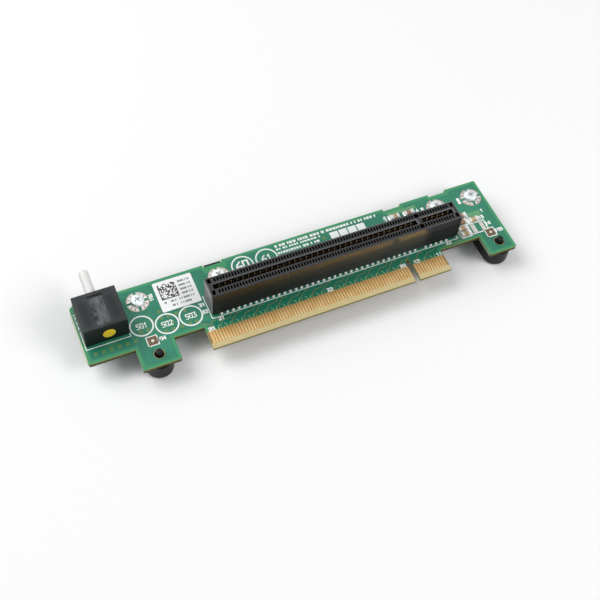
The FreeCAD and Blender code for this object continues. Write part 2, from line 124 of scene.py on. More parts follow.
class Finish:
    """A material of the object. Its point, x, y and z are the place on the object, in millimetres."""

    def __init__(self, name, **fixed):
        self.material = bpy.data.materials.new(name)
        self.material.use_nodes = True
        self.tree = self.material.node_tree
        self.shader = self.tree.nodes["Principled BSDF"]
        for socket, value in fixed.items():
            self.shader.inputs[socket.replace("_", " ")].default_value = value
        metres = self.node("ShaderNodeTexCoord", output="Object")
        self.point = self.node("ShaderNodeVectorMath", {"operation": "SCALE"}, {0: metres, "Scale": 1000})
        self.x, self.y, self.z = self.split(self.point)

    def node(self, kind, settings=None, sockets=None, output=0):
        """Adds a node of this kind with its settings and socket values, and returns one output."""
        made = self.tree.nodes.new(kind)
        for key, value in (settings or {}).items():
            setattr(made, key, value)
        for key, value in (sockets or {}).items():
            if isinstance(value, Wire):
                self.tree.links.new(value.socket, made.inputs[key])
            else:
                made.inputs[key].default_value = value
        return Wire(self, made.outputs[output])

    def split(self, vector):
        parts = self.node("ShaderNodeSeparateXYZ", sockets={0: vector})
        return [Wire(self, socket) for socket in parts.socket.node.outputs]

    def patch(self, x0, x1, y0, y1, blur=0.1, blur_y=None):
        """1 between these places along x and y, with soft sides, and 0 around them."""
        return self.x.between(x0, x1, blur) * self.y.between(y0, y1, blur_y or blur)

    def patches(self, places, blur=0.1, blur_y=None):
        """1 on each of several patches, and 0 around them."""
        found = self.patch(*places[0], blur, blur_y)
        for place in places[1:]:
            found = found | self.patch(*place, blur, blur_y)
        return found

    def noise(self, size, detail=2.0, stretch=(1, 1, 1)):
        """Cloudy noise from 0 to 1 whose lumps are about this many millimetres across."""
        spread = self.node("ShaderNodeVectorMath", {"operation": "MULTIPLY"}, {0: self.point, 1: stretch})
        return self.node(
            "ShaderNodeTexNoise", {}, {"Vector": spread, "Scale": 1 / size, "Detail": detail})

    def mix(self, share, first, second):
        """The first colour, turning into the second as share goes from 0 to 1."""
        def colour(c):
            return c if isinstance(c, Wire) else (*c, 1)
        return self.node(
            "ShaderNodeMix", {"data_type": "RGBA"},
            {0: share, 6: colour(first), 7: colour(second)}, output=2)

    def shade(self, colour, amount):
        """A colour made lighter or darker by a value."""
        grey = self.node("ShaderNodeCombineColor", {}, {0: amount, 1: amount, 2: amount})
        return self.node(
            "ShaderNodeMix", {"data_type": "RGBA", "blend_type": "MULTIPLY"},
            {0: 1.0, 6: colour, 7: grey}, output=2)

    def bump(self, height, depth):
        """Raises the surface by height (0 to 1) times this many millimetres."""
        normal = self.node("ShaderNodeBump", {}, {"Height": height, "Distance": depth * 0.001})
        self.tree.links.new(normal.socket, self.shader.inputs["Normal"])

    def feed(self, socket, wire):
        self.tree.links.new(wire.socket, self.shader.inputs[socket])

    def normal(self):
        """The surface's own direction: x, y and z, each from -1 to 1."""
        return self.split(self.node("ShaderNodeNewGeometry", output="Normal"))


def dress(node, finish):
    """Gives a carried-over node its finish."""
    data = nodes[node].data
    data.materials.clear()
    data.materials.append(finish.material)


def box(node):
    """A carried-over node's lowest and highest corner, in millimetres."""
    return [corner * 1000 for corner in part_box(node)]


board_low, board_high = box("circuit_board")
board_left, board_right, board_thickness = board_low.x, board_high.x, -board_low.z
step_y, tab_edge = 8.3, 0.25            # near edges of the board beside its tongue, and of its tabs
tongue_left, tongue_right = -72.6, 12.6
left_tab_start, left_tab_end, right_tab_start = -95.4, -82.8, 28.0
bevel_length, finger_top = 1.8, 6.2
recess_centres, recess_clear = (-61.7, 4.9, 22.7), 4.1
margin, soft = 1.0, 0.2                 # bare of copper along the edges, and how softly it ends
inland = 12.0                           # how far the tabs' and the tongue's planes reach into the board
mask = Finish("solder_mask", IOR=1.48)
planes = (
    (board_left + margin, board_right - margin, step_y + margin, board_high.y - margin),
    (left_tab_start + margin, left_tab_end - margin, tab_edge + margin, inland),
    (right_tab_start + margin, board_right - margin, tab_edge + margin, inland),
    (tongue_left + margin, tongue_right - margin, finger_top, inland))
copper = mask.patches(planes, soft)
for centre in recess_centres:
    beside_recess = mask.x.between(centre - recess_clear, centre + recess_clear, soft)
    copper = copper * (1 - beside_recess * mask.y.rise(28.6, 28.9))
under_brace_ear = mask.x.between(-65.5, -57.5, soft) * mask.y.rise(27.4, 27.7)
copper = copper * (1 - under_brace_ear)
front = mask.z.rise(-0.8, -0.7)
# Painted shade: the band between the fingers and the slot is tinted darker, as the slot's shadow.
slot_shadow_band = mask.patch(-72, 12, 6.3, 10.3, 0.3, 0.5) * front
clouds = mask.noise(14, 3)
field = mask.mix(clouds.rise(0.35, 0.65), (0.018, 0.180, 0.110), (0.031, 0.235, 0.138))
field = mask.mix(slot_shadow_band, field, (0.013, 0.185, 0.112))
pale_green = (0.048, 0.285, 0.125)
colour = mask.mix(copper, pale_green, field)
weave = (mask.noise(0.55, 1, (1, 0.25, 1)) + mask.noise(0.55, 1, (0.25, 1, 1))) * 0.5
colour = mask.shade(colour, weave * 0.36 + 0.82)
# Bare laminate: the mask isn't printed between the fingers, and the finger edge is bevelled.
on_tongue = mask.x.between(tongue_left - 0.5, tongue_right + 0.5)
bare = on_tongue * (1 - mask.y.rise(finger_top - 0.2, finger_top))
laminate = mask.mix(weave.rise(0.3, 0.7), (0.27, 0.145, 0.050), (0.37, 0.215, 0.080))
colour = mask.mix(bare, colour, laminate)
bevel = on_tongue * (1 - mask.y.rise(bevel_length - 0.08, bevel_length + 0.04))
colour = mask.mix(bevel, colour, mask.mix(weave, (0.52, 0.41, 0.19), (0.66, 0.54, 0.28)))
# Cut sides: dark plies painted in shade, a yellow band painted along the top as lit, and every side that
# faces left, the snapped side among them, painted pale as lit by the lamp.
facing = mask.normal()
side = 1 - abs(facing[2]).rise(0.3, 0.5)
plies = mask.noise(0.18, 1, (0.04, 0.04, 1)).rise(0.35, 0.65)
# Painted light: a lighter band along the top of each side, as lit from above.
lit_side_top = mask.z.rise(-0.55, -0.15) | bare * 0.4
routed = mask.mix(plies, (0.045, 0.045, 0.012), (0.095, 0.085, 0.028))
routed = mask.mix(lit_side_top, routed, (0.44, 0.40, 0.10))
# Painted light: every side that faces left is painted pale, as lit from the left; the others keep the dark,
# shaded colour.
snapped = mask.mix(plies, (0.24, 0.31, 0.165), (0.36, 0.43, 0.27))
cut = mask.mix(1 - facing[0].rise(-0.9, -0.6), routed, snapped)
mask.feed("Base Color", mask.mix(side, colour, cut))
mask.feed("Roughness", 0.20 + side * 0.55 + bare * 0.35 + mask.noise(3, 2) * 0.08)
mask.bump(weave * (1 - side) + plies * side * 0.6, 0.02)
dress("circuit_board", mask)

# Edge fingers: copper plated with nickel and hard gold, 82 on each face, one contact each.
# They are painted lighter and yellower at the card edge and darker and more orange towards the slot, as the
# slot's shadow, with faint lines along the insertion direction.
gold = Finish("gold_plating", Metallic=1.0)
wiped = gold.noise(0.12, 2, (1, 0.04, 1))
tarnish = gold.noise(3.5, 3)
# Painted shade: the fingers turn darker and more orange towards the slot, as the slot's shadow.
wear_and_shade = gold.mix(gold.y.rise(1.5, 6.0), (0.92, 0.69, 0.34), (0.85, 0.53, 0.20))
gold.feed("Base Color", gold.mix(tarnish.rise(0.4, 0.7), wear_and_shade, (0.78, 0.48, 0.17)))
gold.feed("Roughness", 0.26 + wiped * 0.18)
gold.bump(wiped, 0.004)
dress("edge_fingers_front", gold)
dress("edge_fingers_back", gold)

# Etched copper that shows through the mask: short stubs above the fingers, thin tracks that run from
# them towards the slot, small test squares and the broad strips that join the capacitors.


def prism(bm, points, low, high):
    """A flat block whose outline is the points (x, y), taken anticlockwise, between two heights."""
    bottom = [bm.verts.new((x, y, low)) for x, y in points]
    top = [bm.verts.new((x, y, high)) for x, y in points]
    bm.faces.new(bottom[::-1])
    bm.faces.new(top)
    for i, j in zip(range(len(points)), [*range(1, len(points)), 0]):
        bm.faces.new((bottom[i], bottom[j], top[j], top[i]))


def block(bm, x0, x1, y0, y1, low, high):
    prism(bm, [(x0, y0), (x1, y0), (x1, y1), (x0, y1)], low, high)


def stroke(bm, line, width, low, high):
    """A drawn line of even width through the points (x, y), in straight pieces that overlap at the
    bends. Their tops differ by a hair, so that no two lie in one plane."""
    for i, ((x0, y0), (x1, y1)) in enumerate(zip(line, line[1:])):
        length = math.hypot(x1 - x0, y1 - y0)
        ax, ay = (x1 - x0) / length * width / 2, (y1 - y0) / length * width / 2
        prism(bm, [
            (x0 - ax + ay, y0 - ay - ax), (x1 + ax + ay, y1 + ay - ax),
            (x1 + ax - ay, y1 + ay + ax), (x0 - ax - ay, y0 - ay + ax)], low, high + i % 3 * 0.003)


def piece(name, bm, finish, body="card", smooth=True):
    """Turns a mesh made in millimetres into a piece of the object that moves with a body."""
    bmesh.ops.recalc_face_normals(bm, faces=bm.faces)
    bmesh.ops.scale(bm, vec=(0.001,) * 3, verts=bm.verts)
    data = bpy.data.meshes.new(name)
    bm.to_mesh(data)
    bm.free()
    data.materials.append(finish.material)
    if smooth:
        data.shade_smooth()
        data.set_sharp_from_angle(angle=math.radians(35))
    made = bpy.data.objects.new(name, data)
    bpy.context.scene.collection.objects.link(made)
    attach(made, body)
    return made


finger_pitch, first_finger = 1.0, 1.5
right_count, left_count = 11, 71
finger_xs = [first_finger + finger_pitch * i for i in range(right_count)]
finger_xs += [-first_finger - finger_pitch * i for i in range(left_count)]
track_top = 0.012
stub_width, track_width, stub_lean = 0.3, 0.24, 0.55
last_track_x = 9.0
stubs, tracks = bmesh.new(), bmesh.new()
for i, x in enumerate(sorted(finger_xs)):
    turn = (i + 2) % 4
    if turn < 2:
        lean = stub_lean if turn else -stub_lean
        line = [(x, 6.1), (x + lean * 0.1, 6.65), (x + lean * 0.5, 7.05), (x + lean, 7.4)]
        stroke(stubs, line, stub_width, 0, track_top)
    elif turn == 2 and x < last_track_x:
        line = [(x, 6.1), (x + 0.1, 7.3), (x + 0.5, 7.9)]
        if i % 8 < 4:
            line += [(x + 2.2, 9.6), (x + 3.9, 9.65)]
        else:
            line += [(x + 1.4, 8.8), (x + 3.7, 8.9), (x + 4.9, 10.1)]
        stroke(tracks, line, track_width, 0, track_top)
for x0, y0, x1, y1 in ((-73.5, 9.9, -69.4, 8.2), (14.0, 9.1, 21.5, 9.3)):
    stroke(tracks, [(x0, y0), (x1, y1)], track_width, 0, track_top)
for name, bm, dark, light in (
        ("masked_tracks", tracks, (0.15, 0.17, 0.06), (0.27, 0.25, 0.11)),
        ("masked_stubs", stubs, (0.17, 0.33, 0.14), (0.32, 0.46, 0.21))):
    masked = Finish(name, Roughness=0.34)
    grain = masked.noise(0.6, 2)
    masked.feed("Base Color", masked.mix(grain.rise(0.3, 0.7), dark, light))
    masked.bump(grain, 0.006)
    piece(name, bm, masked, smooth=False)

square_half = 0.6
square_rows = (
    (11.3, (-107.2, -104.7, -102.2, -99.5, -97.0, -94.3, -84.2, -81.8, -79, -76.3, -74)),
    (16.5, (-87.3, -84.2, -81.8, -79, -76.3)),
    (13.8, (-91.8, -89.5, -81.3)), (19, (-84,)), (26.8, (-22.5,)))
squares = bmesh.new()
for y, xs in square_rows:
    for x in xs:
        block(squares, x - square_half, x + square_half, y - square_half, y + square_half, 0, track_top)
masked_square = Finish("masked_square", Roughness=0.4)
mottle = masked_square.noise(0.5, 2)
masked_square.feed("Base Color", masked_square.mix(mottle, (0.07, 0.18, 0.06), (0.15, 0.26, 0.09)))
masked_square.bump(mottle, 0.008)
piece("masked_test_squares", squares, masked_square, smooth=False)

strips = bmesh.new()
for x0, x1, y0, y1 in ((2.0, 13.0, 27.4, 28.8), (28.3, 33.3, 16.8, 18.8), (32.6, 33.3, 10.8, 16.8)):
    block(strips, x0, x1, y0, y1, 0, track_top)
masked_strip = Finish("masked_strip", Roughness=0.38)
cloud = masked_strip.noise(1.6, 3)
masked_strip.feed("Base Color", masked_strip.mix(cloud, (0.09, 0.28, 0.13), (0.14, 0.34, 0.165)))
masked_strip.bump(cloud, 0.006)
piece("masked_power_strips", strips, masked_strip, smooth=False)

# Snapped edge: the boards are milled side by side and broken apart along the left side, which leaves
# a rough sliver of bare glass fibre standing out below the mask.
break_steps, break_start, break_step = 50, 9.0, 0.42
break_reach, break_wander = 0.42, 0.05
break_line = random.Random(5)
sliver = bmesh.new()
rows = []
for i in range(break_steps):
    taper = min(1, 0.25 + i / 4, 0.25 + (break_steps - 1 - i) / 4)
    reach = (break_reach + break_line.uniform(-break_wander, break_wander)) * taper
    section = (
        (board_left + 0.1, -0.12), (board_left - reach * 0.8, -0.3),
        (board_left - reach, -1.2), (board_left + 0.1, -1.5))
    rows.append([sliver.verts.new((x, break_start + break_step * i, z)) for x, z in section])
for a, b in zip(rows, rows[1:]):
    for i in range(4):
        j = (i + 1) % 4
        sliver.faces.new((a[i], a[j], b[j], b[i]))
sliver.faces.new(rows[0])
sliver.faces.new(rows[-1][::-1])
torn = Finish("torn_glass_fibre", Roughness=0.75)
fray = torn.noise(0.35, 3, (1, 0.4, 1))
torn.feed("Base Color", torn.mix(fray.rise(0.3, 0.7), (0.52, 0.55, 0.38), (0.80, 0.80, 0.66)))
torn.bump(fray, 0.06)
piece("snapped_edge", sliver, torn, smooth=False)

# Bare lands: copper squares for probes, two empty tinned lands, a tinned land around each screw that
# earths the board, and the rims of the tab holes. Hot-air levelling leaves the tin uneven.


def circle(x, y, radius, count):
    """Points round a circle, anticlockwise."""
    steps = [2 * math.pi * i / count for i in range(count)]
    return [(x + radius * math.cos(a), y + radius * math.sin(a)) for a in steps]


def ring(bm, x, y, inner, outer, low, high, count=48):
    """A flat ring between two radii and two heights."""
    rows = []
    for radius, height in ((inner, low), (outer, low), (outer, high), (inner, high)):
        rows.append([bm.verts.new((px, py, height)) for px, py in circle(x, y, radius, count)])
    for a, b in zip(rows, rows[1:] + rows[:1]):
        for i in range(count):
            j = (i + 1) % count
            bm.faces.new((a[i], a[j], b[j], b[i]))


land_top = 0.05
tin = Finish("tinned_land", Metallic=0.75)
lumps = tin.noise(0.7, 3)
tin.feed("Base Color", tin.mix(lumps.rise(0.3, 0.7), (0.58, 0.55, 0.50), (0.84, 0.82, 0.78)))
tin.feed("Roughness", 0.36 + lumps * 0.2)
tin.bump(lumps, 0.03)
test_copper = Finish("test_copper", Roughness=0.42)
oxide = test_copper.noise(0.9, 3)
tinned = test_copper.patch(26.9, 32.2, 10.2, 14.1)
brown = test_copper.mix(oxide.rise(0.3, 0.7), (0.12, 0.070, 0.034), (0.20, 0.125, 0.070))
pale = test_copper.mix(oxide.rise(0.3, 0.7), (0.60, 0.585, 0.54), (0.74, 0.71, 0.67))
test_copper.feed("Base Color", test_copper.mix(tinned, brown, pale))
test_copper.feed("Metallic", 0.25 + tinned * 0.35)
test_copper.bump(oxide, 0.02)
dress("bare_lands", test_copper)


def quarter_ring(bm, cx, cy, turn, inner, outer, gap):
    """A quarter of a ring, cut off by straight gaps this wide on both sides."""
    outline = []
    for radius, way in ((outer, 1), (inner, -1)):
        clear = math.asin(gap / 2 / radius)
        for i in range(9):
            a = turn + clear + (math.pi / 2 - 2 * clear) * (i if way > 0 else 8 - i) / 8
            outline.append((cx + radius * math.cos(a), cy + radius * math.sin(a)))
    prism(bm, outline, 0, land_top)


land_centres = ((-89.25, 24.95), (-61.3, 24.8), (19.8, 24.75), (33.35, 24.7))
land_radius, land_inner = 3.75, 2.25
tinned_radius = 3.35                    # the tin thins out to bare copper near the rim
via_reach, via_long, via_wide = 3.0, 0.3, 0.2
screw_lands, land_rims, land_vias = bmesh.new(), bmesh.new(), bmesh.new()
for cx, cy in land_centres:
    for quarter in range(4):
        turn = quarter * math.pi / 2
        quarter_ring(screw_lands, cx, cy, turn, land_inner, tinned_radius, 0.95)
        quarter_ring(land_rims, cx, cy, turn, tinned_radius, land_radius, 0.85)
        for a in (math.pi / 6, math.pi / 3):
            out = Vector((math.cos(turn + a), math.sin(turn + a)))
            across = Vector((-out.y, out.x))
            middle = Vector((cx, cy)) + out * via_reach
            via = [middle + out * via_long * px + across * via_wide * py for px, py in circle(0, 0, 1, 12)]
            prism(land_vias, via, 0, land_top + 0.012)
piece("screw_lands", screw_lands, tin, smooth=False)
worn_tin = Finish("worn_tin", Metallic=0.5)
patches = worn_tin.noise(0.8, 3)
worn_tin.feed("Base Color", worn_tin.mix(patches.rise(0.35, 0.65), (0.44, 0.33, 0.28), (0.62, 0.53, 0.47)))
worn_tin.feed("Roughness", 0.42 + patches * 0.2)
worn_tin.bump(patches, 0.02)
piece("screw_land_rims", land_rims, worn_tin, smooth=False)
# Painted shade: the vias are not cut as holes; dark raised dots are painted where the holes' shade would
# be.
via_hole_shade = Finish("via_hole_shade", Roughness=0.5, Metallic=0.4)
via_hole_shade.feed("Base Color", via_hole_shade.mix(via_hole_shade.noise(0.3), (0.06, 0.06, 0.04), (0.15, 0.14, 0.10)))
piece("land_vias", land_vias, via_hole_shade, smooth=False)

tab_holes, tab_hole_radius = ((-88.95, 4.35), (33.6, 4.35)), 1.6
rims = bmesh.new()
for x, y in tab_holes:
    ring(rims, x, y, tab_hole_radius, tab_hole_radius + 0.2, -0.3, land_top)
rim_copper = Finish("rim_copper", Metallic=0.6, Roughness=0.4)
rim_copper.feed("Base Color", rim_copper.mix(rim_copper.noise(0.6), (0.22, 0.15, 0.06), (0.42, 0.30, 0.15)))
piece("tab_hole_rims", rims, rim_copper)

probe_centres = ((-89.4, 9.5), (32.65, 8.7))
probe_vias = bmesh.new()
for x, y in probe_centres:
    ring(probe_vias, x, y, 0.18, 0.5, 0, land_top + 0.05, 20)
    prism(probe_vias, circle(x, y, 0.2, 16), 0, land_top + 0.01)
piece("probe_vias", probe_vias, tin)

# White legend: epoxy ink screened on the mask, about 0.02 mm thick. It frames the slot, the switch
# and the chips, numbers them, and leaves four white fields to write on.
ink_low, ink_top = 0.0, 0.028
legend = bmesh.new()
digit_lines = {
    "0": ((0, 0), (4, 0), (4, 6), (0, 6), (0, 0)),
    "1": ((0.8, 4.6), (2.2, 6), (2.2, 0)),
    "2": ((0, 5), (0.8, 6), (3.2, 6), (4, 5), (4, 3.8), (0, 0), (4, 0)),
    "3": ((0, 6), (4, 6), (1.8, 3.5), (4, 2.6), (4, 0.8), (3, 0), (0, 0)),
    "4": ((3, 0), (3, 6), (0, 2), (4, 2)),
    "5": ((4, 6), (0.3, 6), (0, 3.4), (3.2, 3.4), (4, 2.4), (4, 1), (3, 0), (0, 0)),
    "6": ((3.4, 6), (0.8, 4.4), (0, 2), (0, 0), (4, 0), (4, 3), (0, 3)),
    "7": ((0, 6), (4, 6), (1.4, 0)),
    "8": ((0, 0), (4, 0), (4, 6), (0, 6), (0, 0), (0, 3), (4, 3)),
}


def number(text, x, y, height, line, squeeze, upright=False):
    """A plain number in the stroke letters of a board plotter, centred on (x, y)."""
    scale = height / 6
    for i, digit in enumerate(text):
        start = i * 6 - (len(text) * 6 - 2) / 2
        points = [((start + px) * scale * squeeze, (py - 3) * scale) for px, py in digit_lines[digit]]
        if upright:
            points = [(-py, px) for px, py in points]
        stroke(legend, [(x + px, y + py) for px, py in points], line, ink_low, ink_top)


def inked(line, width):
    stroke(legend, line, width, ink_low, ink_top)


def frame_line(x0, x1, y0, y1, width=0.4):
    inked([(x0, y0), (x1, y0), (x1, y1), (x0, y1), (x0, y0)], width)


ring_inner, ring_outer = 3.4, 3.9
for text, x, y, height, line in (
        ("501", -90.9, 15.9, 1.75, 0.3), ("502", -83.1, 13.85, 1.75, 0.3), ("503", -75.1, 13.95, 1.75, 0.3),
        ("60", -52.5, 26.1, 3.4, 0.6), ("61", -43.9, 26.1, 2.6, 0.4)):
    ring(legend, x, y, ring_inner, ring_outer, ink_low, ink_top)
    number(text, x, y, height, line, squeeze=0.72)
outline_width, probe_frame_half = 0.28, 1.72
inked([(-69.05, 19.5), (-69.05, 10.4), (20.5, 10.4), (20.5, 11.6)], outline_width)
inked([(-109.5, 27.0), (-109.5, 13.6), (-95.2, 13.6), (-95.2, 14.9)], outline_width)
for x, y in probe_centres:
    frame_line(x - probe_frame_half, x + probe_frame_half, y - probe_frame_half, y + probe_frame_half, 0.34)
for x0, x1, y0, y1 in (
        (26.3, 32.7, 10.05, 14.35), (27.35, 31.45, 14.25, 16.55), (7.6, 11.7, 24.95, 27.25),
        (1.85, 5.95, 25.05, 27.35), (21.9, 25.95, 9.75, 12.05), (21.9, 25.95, 12.15, 14.4),
        (22.9, 26.95, 14.65, 16.95), (24.2, 28.25, 17.15, 19.45)):
    frame_line(x0, x1, y0, y1)
small_height, small_line = 1.1, 0.36
for text, x, y in (
        ("20", -70.7, 6.9), ("21", -66.3, 9.6), ("22", -29.3, 7.0), ("82", -2.3, 6.8), ("12", 2.8, 6.8),
        ("11", 11.4, 6.8), ("23", 16.6, 9.9), ("31", -70.4, 16.5), ("32", -70.4, 13.7), ("104", -86.6, 9.3),
        ("105", 35.8, 8.7), ("6", 0.6, 27.2), ("7", 0.6, 25.9), ("14", 12.3, 26.2), ("8", 14.8, 26.0),
        ("15", 32.6, 15.7), ("1", 34.2, 18.2), ("16", 33.6, 12.6)):
    number(text, x, y, small_height, small_line, squeeze=0.95)
number("106", -84.7, 25.0, 1.0, 0.34, squeeze=0.9, upright=True)
field_left, field_width, field_pitch = -20.1, 2.95, 3.35
for i in range(4):
    x = field_left + field_pitch * i
    block(legend, x, x + field_width, 24.6, 28.2, ink_low, ink_top)
block(legend, 28.1, 29.1, 23.4, 26.0, ink_low, ink_top)
for y in (27.2, 25.2, 23.2, 21.2):
    block(legend, -109.75, -109.3, y - 0.55, y + 0.35, ink_low, ink_top)
draw = random.Random(11)
for start, end, y, height in (
        (-39.7, -2.4, 29.45, 0.95), (-39.7, -23.5, 28.1, 0.75), (-39.7, -24.5, 26.5, 0.9)):
    x = start
    while x < end:
        width = draw.choice((0.55, 0.8, 1.05))
        block(legend, x, x + width, y - height / 2, y + height / 2, ink_low, ink_top)
        x += width + draw.choice((0.22, 0.28, 0.8))
white_ink = Finish("white_ink", Roughness=0.55)
speck = white_ink.noise(0.35, 3)
white_ink.feed("Base Color", white_ink.mix(speck.rise(0.3, 0.6), (0.78, 0.83, 0.80), (0.90, 0.92, 0.90)))
white_ink.bump(speck, 0.01)
piece("legend_print", legend, white_ink, smooth=False)

# Chip parts: seven ceramic bricks 3.2 mm long, each soldered by its tinned end caps. Four are tan
# capacitors and three are reddish brown; the solder climbs each end in a concave fillet.


def ceramic(name, bodies, dark, light):
    """Fired ceramic that shows inside these patches, with tin run over it around them."""
    fired = Finish(name, Roughness=0.62)
    mottling = fired.noise(0.45, 3)
    body = fired.mix(mottling.rise(0.3, 0.7), dark, light)
    tinned_end = fired.mix(mottling, (0.62, 0.62, 0.58), (0.82, 0.82, 0.80))
    fired.feed("Base Color", fired.mix(fired.patches(bodies), tinned_end, body))
    fired.bump(mottling, 0.015)
    return fired


tan_bodies = ((23.2, 24.7, 9.5, 14.5), (28.6, 30.1, 14.0, 16.5), (3.6, 4.9, 25.0, 27.2))
brown_bodies = ((24.0, 26.0, 14.8, 16.9), (25.0, 26.7, 17.2, 19.4), (8.4, 10.1, 25.0, 27.2))
dress("tan_chips", ceramic("tan_ceramic", tan_bodies, (0.40, 0.28, 0.155), (0.56, 0.41, 0.24)))
dress("brown_chips", ceramic("brown_ceramic", brown_bodies, (0.27, 0.15, 0.10), (0.38, 0.22, 0.155)))
solder = Finish("solder", Metallic=0.2)
ripple = solder.noise(0.5, 2)
solder.feed("Base Color", solder.mix(ripple, (0.78, 0.78, 0.76), (0.92, 0.92, 0.90)))
solder.feed("Roughness", 0.24 + ripple * 0.18)
solder.bump(ripple, 0.02)
dress("chip_end_caps", solder)
tan_centres = ((23.9, 10.9), (23.9, 13.2), (29.4, 15.4), (3.9, 26.2))
brown_centres = ((24.9, 15.8), (26.2, 18.3), (9.65, 26.1))
chip_half_length, fillet_half_width = 1.6, 0.72
fillet_section = ((-0.02, 0.0), (0.42, 0.0), (0.13, 0.22), (-0.02, 0.75))    # beyond the chip, height
fillets = bmesh.new()
for cx, cy in tan_centres + brown_centres:
    for way in (-1, 1):
        end = cx + way * chip_half_length
        profile = [(end + way * beyond, z) for beyond, z in fillet_section]
        low = [fillets.verts.new((x, cy - fillet_half_width, z)) for x, z in profile]
        high = [fillets.verts.new((x, cy + fillet_half_width, z)) for x, z in profile]
        fillets.faces.new(low)
        fillets.faces.new(high[::-1])
        for i in range(4):
            j = (i + 1) % 4
            fillets.faces.new((low[i], low[j], high[j], high[i]))
piece("chip_solder", fillets, solder)

# Card slot: one black glass-filled moulding with a row of windows each side of the groove, held by its
# 164 spring contacts, which are soldered in plated holes. It stands on feet 0.8 mm above the board.
# Its near face mirrors the board and is duller low down; towards both ends it is made black metal, so its
# reflection is painted out as shade.
slot_low, slot_high = box("slot_housing")
slot_centre_y, slot_key_x = (slot_low.y + slot_high.y) / 2, 5.8
window_near, window_far, window_end = 1.6, 2.95, 2.5    # from the centre line and the housing's ends
slot_plastic = Finish("slot_plastic", IOR=1.52)
# Painted shade: inside the slot below its top, and in a border round each window, the plastic is painted
# near black and made black metal so that it reflects nothing, as shade.
inside = (1 - slot_plastic.z.rise(10.5, 11.0)) * slot_plastic.patch(-68.4, 20.0, 11.6, 18.1)
from_window = abs((slot_plastic.x + 0.2).fraction() - 0.5)
windows = slot_plastic.x.between(slot_low.x + window_end, slot_high.x - window_end)
windows = windows * abs(slot_plastic.y - slot_centre_y).between(window_near, window_far, 0.03)
inside = inside | windows * (1 - from_window.rise(0.28, 0.36))
flow = slot_plastic.noise(6, 3, (0.3, 1, 1))
fine = slot_plastic.noise(0.18, 2)
facing = slot_plastic.normal()
top_face = facing[2].rise(0.9, 0.95)
end_face = 1 - facing[0].rise(-0.95, -0.9)
near_face = 1 - facing[1].rise(-0.95, -0.9)
# Painted highlight: the sloping lead-in faces along the groove are painted lighter grey.
lead_in_highlight = facing[2].between(0.55, 0.85) * slot_plastic.y.between(13.2, 16.4)
black = slot_plastic.mix(flow, (0.010, 0.010, 0.010), (0.020, 0.020, 0.020))
# Painted sheen: faces that point up are painted a lighter grey than the rest.
black = slot_plastic.mix(top_face, black, (0.026, 0.026, 0.027))
# Painted light: faces that point left are painted pale grey, paler towards the top, as lit from the left.
lit_end_face = slot_plastic.mix(slot_plastic.z.rise(0, 9), (0.070, 0.072, 0.072), (0.175, 0.18, 0.18))
black = slot_plastic.mix(end_face, black, lit_end_face)
# Painted shade: near black inside the slot and round the windows.
black = slot_plastic.mix(inside, black, (0.002, 0.002, 0.002))
# Painted highlight on the lead-in faces.
slot_plastic.feed("Base Color", slot_plastic.mix(lead_in_highlight, black, (0.085, 0.087, 0.090)))
satin = 1 - slot_plastic.z.rise(7.4, 8.8)
slot_plastic.feed("Roughness", 0.16 + flow * 0.10 + fine * 0.06 + satin * 0.22 + inside * 0.4)
# Painted shade: towards both ends the near face is made black metal, so it reflects nothing.
shaded_near_ends = slot_plastic.x.rise(6, 10) | (1 - slot_plastic.x.rise(-55, -15)) * 0.7
slot_plastic.feed("Metallic", inside | near_face * shaded_near_ends)
slot_plastic.bump(fine, 0.004)
dress("slot_housing", slot_plastic)
contact_alloy = Finish("contact_alloy", Metallic=0.7)
streak = contact_alloy.noise(0.4, 2, (1, 1, 0.1))
alloy = contact_alloy.mix(streak, (0.72, 0.47, 0.20), (0.88, 0.68, 0.38))
# Painted highlight: the contacts are painted darker to the left and brighter to the right; the switch
# terminals and wiper, far to the left, take the darkest tone.
contact_alloy.feed("Base Color", contact_alloy.shade(alloy, 0.55 + contact_alloy.x.rise(-60, 18) * 0.45))
contact_alloy.feed("Roughness", 0.38 + streak * 0.15)
for node in ("slot_contacts_near", "slot_contacts_far", "switch_terminals", "switch_wiper"):
    dress(node, contact_alloy)


def lathe(bm, profile, x, y, count):
    """A turned form from (radius, height) points, round an upright axis; radius 0 closes an end."""
    rows = []
    for radius, height in profile:
        if radius == 0:
            rows.append([bm.verts.new((x, y, height))])
        else:
            rows.append([bm.verts.new((px, py, height)) for px, py in circle(x, y, radius, count)])
    for a, b in zip(rows, rows[1:]):
        for i in range(count):
            j = (i + 1) % count
            corners = [a[i % len(a)], a[j % len(a)], b[j % len(b)], b[i % len(b)]]
            bm.faces.new(list(dict.fromkeys(corners)))


inner_row, outer_row = 1.25, 3.4        # the contacts' tails, from the slot's centre line
top_joint_shift = 0.22                  # only the outer tails show a joint on top, a little further out
under = ((0, -2.5), (0.2, -2.42), (0.27, -2.1), (0.36, -1.8), (0.62, -1.6), (0.66, -1.56), (0, -1.55))
over = ((0, -0.01), (0.52, -0.01), (0.51, 0.1), (0.47, 0.35), (0.40, 0.6), (0.31, 0.76), (0, 0.78))
slot_joints = bmesh.new()
for i, x in enumerate(sorted(finger_xs, reverse=True)):
    reach = inner_row if i % 2 == 0 else outer_row
    for way in (-1, 1):
        y = slot_centre_y + way * reach
        lathe(slot_joints, under, slot_key_x + x, y, 10)
        if reach == outer_row:
            lathe(slot_joints, over, slot_key_x + x, y + way * top_joint_shift, 10)
bright_solder = Finish("bright_solder")
dimples = bright_solder.noise(0.5, 2)
bright_solder.feed("Base Color", bright_solder.mix(dimples, (0.94, 0.94, 0.92), (0.98, 0.98, 0.97)))
bright_solder.feed("Roughness", 0.3 + dimples * 0.15)
bright_solder.bump(dimples, 0.01)
piece("slot_solder_joints", slot_joints, bright_solder)

